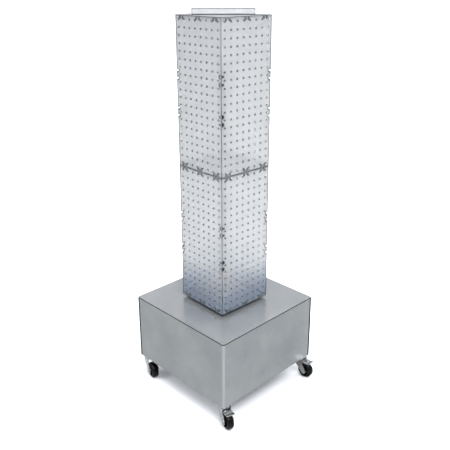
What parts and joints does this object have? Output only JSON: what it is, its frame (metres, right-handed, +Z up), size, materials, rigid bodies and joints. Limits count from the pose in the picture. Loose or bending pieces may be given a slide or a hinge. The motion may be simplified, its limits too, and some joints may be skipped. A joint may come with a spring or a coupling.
{
  "type": "pegboard display stand",
  "caption": "Revolving four-sided clear pegboard tower with a sign channel on top, standing on a wheeled sheet-metal base with locking casters.",
  "frame": {"origin": "on the floor, on the axis that the tower turns about", "axes": "+Z up; -Y is the outward normal of the front pegboard face and +X that of the right one; the base is turned 2.05 degrees about +Z under the tower"},
  "size_m": [0.5506, 0.4859, 1.3894],
  "materials": {
    "base_sheet_metal": "satin silver",
    "zinc_plate": "bright zinc",
    "screw_steel": "plain",
    "dark_post": "satin black",
    "white_nylon": "matt",
    "clear_plastic": "clear, slightly hazy",
    "frosted_plastic": "clear, frosted",
    "black_tyre": "matt",
    "black_core": "matt"
  },
  "bodies": {
    "base": {"base_wrap_front": "base_sheet_metal", "base_wrap_rear": "base_sheet_metal", "base_top": "base_sheet_metal", "caster_gussets": "zinc_plate", "caster_stems": "zinc_plate", "caster_stem_nuts": "zinc_plate", "turntable_lower_plate": "zinc_plate", "turntable_lower_screws": "screw_steel", "spindle_flange": "zinc_plate", "spindle_flange_screws": "screw_steel", "spindle_post": "dark_post", "spindle_cap": "dark_post"},
    "ball_ring": {"turntable_balls": "screw_steel", "turntable_ball_cage": "white_nylon"},
    "tower": {"turntable_upper_plate": "zinc_plate", "turntable_upper_screws": "screw_steel", "tower_bottom_plate": "frosted_plastic", "tower_divider_plate": "frosted_plastic", "tower_top_plate": "frosted_plastic", "bottom_bush": "white_nylon", "divider_bush": "white_nylon", "sign_channel_pivot": "screw_steel", "panel_lower_front": "clear_plastic", "panel_lower_right": "clear_plastic", "panel_lower_rear": "clear_plastic", "panel_lower_left": "clear_plastic", "panel_upper_front": "clear_plastic", "panel_upper_right": "clear_plastic", "panel_upper_rear": "clear_plastic", "panel_upper_left": "clear_plastic"},
    "sign": {"sign_channel": "clear_plastic"},
    "swivel_front_left": {"fork_front_left": "zinc_plate", "axle_bolt_front_left": "zinc_plate", "axle_nut_front_left": "zinc_plate"},
    "wheel_front_left": {"wheel_core_front_left": "black_core", "tyre_front_left": "black_tyre"},
    "swivel_front_right": {"fork_front_right": "zinc_plate", "axle_bolt_front_right": "zinc_plate", "axle_nut_front_right": "zinc_plate"},
    "wheel_front_right": {"wheel_core_front_right": "black_core", "tyre_front_right": "black_tyre"},
    "brake_front_right": {"brake_pedal_front_right": "zinc_plate"},
    "swivel_rear_left": {"fork_rear_left": "zinc_plate", "axle_bolt_rear_left": "zinc_plate", "axle_nut_rear_left": "zinc_plate"},
    "wheel_rear_left": {"wheel_core_rear_left": "black_core", "tyre_rear_left": "black_tyre"},
    "swivel_rear_right": {"fork_rear_right": "zinc_plate", "axle_bolt_rear_right": "zinc_plate", "axle_nut_rear_right": "zinc_plate"},
    "wheel_rear_right": {"wheel_core_rear_right": "black_core", "tyre_rear_right": "black_tyre"},
    "brake_rear_right": {"brake_pedal_rear_right": "zinc_plate"}
  },
  "joints": [
    {"name": "tower_spin", "type": "hinge", "parent": "base", "child": "tower", "pos_m": [0, 0, 0.351], "axis": [0, 0, 1], "continuous": true},
    {"name": "ball_ring_spin", "type": "hinge", "parent": "base", "child": "ball_ring", "pos_m": [0, 0, 0.34525], "axis": [0, 0, 1], "continuous": true},
    {"name": "sign_swivel", "type": "hinge", "parent": "tower", "child": "sign", "pos_m": [0, 0, 1.369], "axis": [0, 0, 1], "continuous": true},
    {"name": "swivel_front_left", "type": "hinge", "parent": "base", "child": "swivel_front_left", "pos_m": [-0.20139, -0.21634, 0.084], "axis": [0, 0, 1], "continuous": true},
    {"name": "roll_front_left", "type": "hinge", "parent": "swivel_front_left", "child": "wheel_front_left", "pos_m": [-0.17313, -0.22284, 0.0305], "axis": [0.2241, 0.9746, 0], "continuous": true},
    {"name": "swivel_front_right", "type": "hinge", "parent": "base", "child": "swivel_front_right", "pos_m": [0.21634, -0.20139, 0.084], "axis": [0, 0, 1], "continuous": true},
    {"name": "roll_front_right", "type": "hinge", "parent": "swivel_front_right", "child": "wheel_front_right", "pos_m": [0.24436, -0.20887, 0.0305], "axis": [0.258, 0.9662, 0], "continuous": true},
    {"name": "brake_front_right", "type": "hinge", "parent": "swivel_front_right", "child": "brake_front_right", "pos_m": [0.23132, -0.20539, 0.0685], "axis": [0.258, 0.9662, 0], "range_deg": [0, 8]},
    {"name": "swivel_rear_left", "type": "hinge", "parent": "base", "child": "swivel_rear_left", "pos_m": [-0.21634, 0.20139, 0.084], "axis": [0, 0, 1], "continuous": true},
    {"name": "roll_rear_left", "type": "hinge", "parent": "swivel_rear_left", "child": "wheel_rear_left", "pos_m": [-0.24436, 0.20887, 0.0305], "axis": [-0.258, -0.9662, 0], "continuous": true},
    {"name": "swivel_rear_right", "type": "hinge", "parent": "base", "child": "swivel_rear_right", "pos_m": [0.20139, 0.21634, 0.084], "axis": [0, 0, 1], "continuous": true},
    {"name": "roll_rear_right", "type": "hinge", "parent": "swivel_rear_right", "child": "wheel_rear_right", "pos_m": [0.23023, 0.2194, 0.0305], "axis": [-0.1054, 0.9944, 0], "continuous": true},
    {"name": "brake_rear_right", "type": "hinge", "parent": "swivel_rear_right", "child": "brake_rear_right", "pos_m": [0.2168, 0.21798, 0.0685], "axis": [-0.1054, 0.9944, 0], "range_deg": [0, 8]}
  ],
  "couplings": [
    {"joint": "ball_ring_spin", "follows": "tower_spin", "ratio": 0.5}
  ]
}
